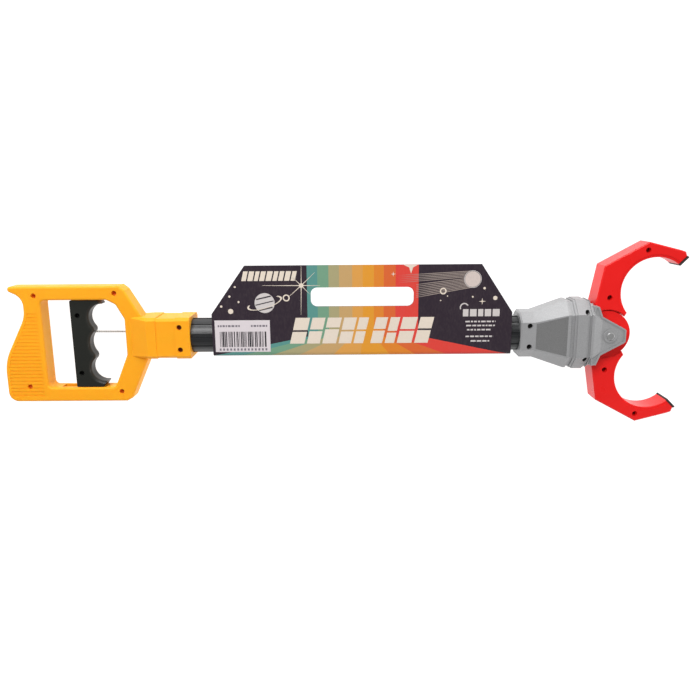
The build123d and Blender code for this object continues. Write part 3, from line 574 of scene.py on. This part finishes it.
# ringed planet
PLANET = (-50.0, 23.4)
PLANET_R = 6.6
printed("card_planet", [disc(PLANET, PLANET_R, sides=40)], PALE, CARD_FACE)
printed("card_planet_bands",
        [stroke((PLANET[0] - 5.4, PLANET[1] + 2.4), (PLANET[0] + 4.2, PLANET[1] + 4.6), 0.9),
         stroke((PLANET[0] - 6.1, PLANET[1] - 1.4), (PLANET[0] + 5.9, PLANET[1] + 1.4), 0.7),
         stroke((PLANET[0] - 3.8, PLANET[1] - 4.9), (PLANET[0] + 5.2, PLANET[1] - 2.8), 0.9)],
        SHADE, CARD_FACE, lift=LAYER)
ORBIT_STEPS = 40
ORBIT_R = (11.6, 3.4)                   # its half length and half width
ORBIT_TURN = radians(17)
INSIDE, OUTSIDE = 0.93, 1.04            # its two edges, as shares of that size
BEHIND = (0.15 * pi, 0.85 * pi)         # the stretch that the planet hides
orbit = []
for step in range(ORBIT_STEPS):
    first, last = (2 * pi * (step + part) / ORBIT_STEPS for part in (0, 1))
    if BEHIND[0] < first < BEHIND[1]:
        continue
    plate = []
    for grow, angle in ((INSIDE, first), (OUTSIDE, first), (OUTSIDE, last), (INSIDE, last)):
        x, y = ORBIT_R[0] * grow * cos(angle), ORBIT_R[1] * grow * sin(angle)
        plate.append((PLANET[0] + x * cos(ORBIT_TURN) - y * sin(ORBIT_TURN),
                      PLANET[1] + x * sin(ORBIT_TURN) + y * cos(ORBIT_TURN)))
    orbit.append(plate)
printed("card_planet_orbit", orbit, CREAM, CARD_FACE, lift=2 * LAYER)

# abstract blocks where such a card has words; each has its left end and its width
TOP_BLOCKS = ((-64.8, 3.0), (-60.9, 3.4), (-56.6, 2.6), (-53.1, 3.2), (-49.0, 3.6),
              (-44.5, 2.8), (-40.8, 3.0), (-36.9, 3.4), (-32.6, 2.8))
TOP_LOW, TOP_HEIGHT = 38.0, 6.3
printed("card_top_blocks",
        [leaning(left, TOP_LOW, width, TOP_HEIGHT) for left, width in TOP_BLOCKS],
        CREAM, CARD_FACE)

TITLE_BLOCKS = ((-34.0, 9.6), (-22.8, 8.6), (-12.6, 9.2), (-1.8, 8.4), (8.2, 6.4),
                (19.4, 7.8), (29.0, 6.2), (37.0, 9.8), (48.6, 9.0))
TITLE_LOW, TITLE_HEIGHT = -4.0, 17.4
HALF_GAP = 0.6                          # half of the gap that splits each title block
random.seed(11)
blocks = []
for left, width in TITLE_BLOCKS:
    cut = random.uniform(0.4, 0.6) * TITLE_HEIGHT
    over = cut + HALF_GAP
    blocks.append(leaning(left, TITLE_LOW, width, cut - HALF_GAP))
    blocks.append(leaning(left + LEAN * over, TITLE_LOW + over, width, TITLE_HEIGHT - over))
printed("card_title_blocks", blocks, CREAM, CARD_FACE)

SMALL_LINES = ((10.1, 82.4, 102.3), (7.4, 83.0, 102.0), (4.6, 83.6, 99.4),
               (0.1, 82.8, 101.0), (-3.0, 86.2, 98.6))      # y, start and end
SMALL_BLOCKS = ((80.6, 3.6), (85.2, 4.4), (90.6, 3.4), (95.0, 4.2), (100.2, 4.6))
SMALL_LOW, SMALL_HEIGHT = 13.6, 4.8
lines = []
for y, start, end in SMALL_LINES:
    lines += dashes(y, start, end, (1.2, 3.4), gap=0.7, width=1.0)
for left, width in SMALL_BLOCKS:
    lines.append(leaning(left, SMALL_LOW, width, SMALL_HEIGHT, lean=0.0))
lines += ring((81.4, 19.6), 2.6, 0.8)[2:16]
printed("card_small_blocks", lines, PALE, CARD_FACE)

# label: bars of made-up widths and short dashes
BARS_X = (-80.4, -50.4)
BARS_LOW, BARS_HEIGHT = -6.0, 10.4
bars = []
x = BARS_X[0]
while x < BARS_X[1]:
    width = random.choice((0.34, 0.34, 0.68, 0.68, 1.02))
    bars.append(leaning(x, BARS_LOW, width, BARS_HEIGHT, lean=0.0))
    x += width + random.choice((0.34, 0.34, 0.68, 0.9))
printed("label_bars", bars, BAR_INK, LABEL_FACE)

LABEL_TOP_LINE, LABEL_FOOT_LINE = 8.2, -7.7
label_lines = []
for start, end in ((-81.6, -66.4), (-59.6, -48.8)):
    label_lines += dashes(LABEL_TOP_LINE, start, end, (0.9, 2.2), gap=0.6, width=1.3)
FOOT_X, FOOT_PITCH, FOOT_DASH = (-81.0, -50.0), 2.35, 1.2
x = FOOT_X[0]
while x < FOOT_X[1]:
    label_lines.append(stroke((x, LABEL_FOOT_LINE), (x + FOOT_DASH, LABEL_FOOT_LINE), 1.5))
    x += FOOT_PITCH
printed("label_dashes", label_lines, ink("dash_ink", paint(120, 114, 122)), LABEL_FACE)


# ---- floor, light and camera ---------------------------------------------------------

FLOOR_HALF = 8.0
FLOOR_DROP = 0.4 * MM           # gap under the toy, so that no faces share a plane


def floor():
    """Plain pale floor just under the toy, lit from within as on a light table."""
    mesh = bmesh.new()
    bmesh.ops.create_grid(mesh, x_segments=2, y_segments=2, size=FLOOR_HALF)
    data = bpy.data.meshes.new("floor")
    mesh.to_mesh(data)
    mesh.free()
    piece = bpy.data.objects.new("floor", data)
    piece.location = (0, 0, -FLOOR_DROP)
    bpy.context.scene.collection.objects.link(piece)
    g = Graph("floor_white")
    tone = g.mix(g.spread(g.noise(3.0), 0.3, 0.7), (0.20, 0.20, 0.20, 1), (0.22, 0.22, 0.22, 1))
    g.set(Base_Color=tone, Roughness=0.9, Specular_IOR_Level=0.2,
          Emission_Color=(1.0, 1.0, 1.0, 1.0), Emission_Strength=1.0)
    data.materials.append(g.material)


def area_light(name, place, aim, size, power):
    """Soft rectangular light."""
    data = bpy.data.lights.new(name, "AREA")
    data.shape = "RECTANGLE"
    data.size, data.size_y = size
    data.energy = power
    light = bpy.data.objects.new(name, data)
    light.location = place
    direction = Vector(aim) - Vector(place)
    light.rotation_euler = direction.to_track_quat("-Z", "Y").to_euler()
    bpy.context.scene.collection.objects.link(light)


def world():
    """White surroundings, dark overhead and dimmer behind the handle."""
    scene_world = bpy.data.worlds.new("studio")
    scene_world.use_nodes = True
    tree = scene_world.node_tree
    coords = tree.nodes.new("ShaderNodeTexCoord")
    split = tree.nodes.new("ShaderNodeSeparateXYZ")
    tree.links.new(coords.outputs["Generated"], split.inputs[0])
    ramp = tree.nodes.new("ShaderNodeValToRGB")
    for element, (height, grey) in zip(ramp.color_ramp.elements, ((0.35, 1.0), (0.85, 0.16))):
        element.position = height
        element.color = (grey, grey, grey, 1)
    tree.links.new(split.outputs["Z"], ramp.inputs[0])
    tree.links.new(ramp.outputs[0], tree.nodes["Background"].inputs["Color"])
    sides = tree.nodes.new("ShaderNodeMapRange")
    for name, number in (("From Min", -0.9), ("From Max", -0.2),
                         ("To Min", 0.5), ("To Max", 1.0)):
        sides.inputs[name].default_value = number
    tree.links.new(split.outputs["X"], sides.inputs[0])
    tree.links.new(sides.outputs[0], tree.nodes["Background"].inputs["Strength"])
    bpy.context.scene.world = scene_world


TARGET = Vector((5.9, -11.4, 16.2)) * MM
TOWARDS_EYE = Vector((0.0022, 0.2192, 0.9757))      # from the target to the camera
EYE_DISTANCE = 0.4745
ROLL = radians(-0.43)
SENSOR_MM = 36.0
FOCAL_SHARE = 691.7 / 700       # focal length over the picture's width


def camera():
    """Camera above the toy, leaning a little towards the card header's side."""
    back = TOWARDS_EYE.normalized()
    right = Vector((0, 1, 0)).cross(back).normalized()
    up = back.cross(right)
    turned_right = right * cos(ROLL) + up * sin(ROLL)
    turned_up = up * cos(ROLL) - right * sin(ROLL)
    data = bpy.data.cameras.new("camera")
    data.sensor_width = SENSOR_MM
    data.lens = FOCAL_SHARE * SENSOR_MM
    data.clip_start = 0.01
    data.clip_end = 20.0
    eye = bpy.data.objects.new("camera", data)
    turn = Matrix((turned_right, turned_up, back)).transposed()
    eye.matrix_world = Matrix.Translation(TARGET + back * EYE_DISTANCE) @ turn.to_4x4()
    bpy.context.scene.collection.objects.link(eye)
    bpy.context.scene.camera = eye


floor()
world()
area_light("key", place=(-0.35, 0.75, 0.85), aim=(0, 0, 0), size=(0.9, 0.5), power=10.8)
area_light("fill", place=(0.45, -0.7, 0.8), aim=(0, 0, 0), size=(0.9, 0.5), power=0.8)
area_light("rim", place=(-0.1, 1.3, 0.3), aim=(0, 0, 0.01), size=(1.2, 0.3), power=5.0)
area_light("side", place=(1.2, -0.1, 0.45), aim=(-0.2, 0, 0), size=(0.3, 0.5), power=2.5)
camera()
bpy.context.scene.view_settings.view_transform = "Standard"
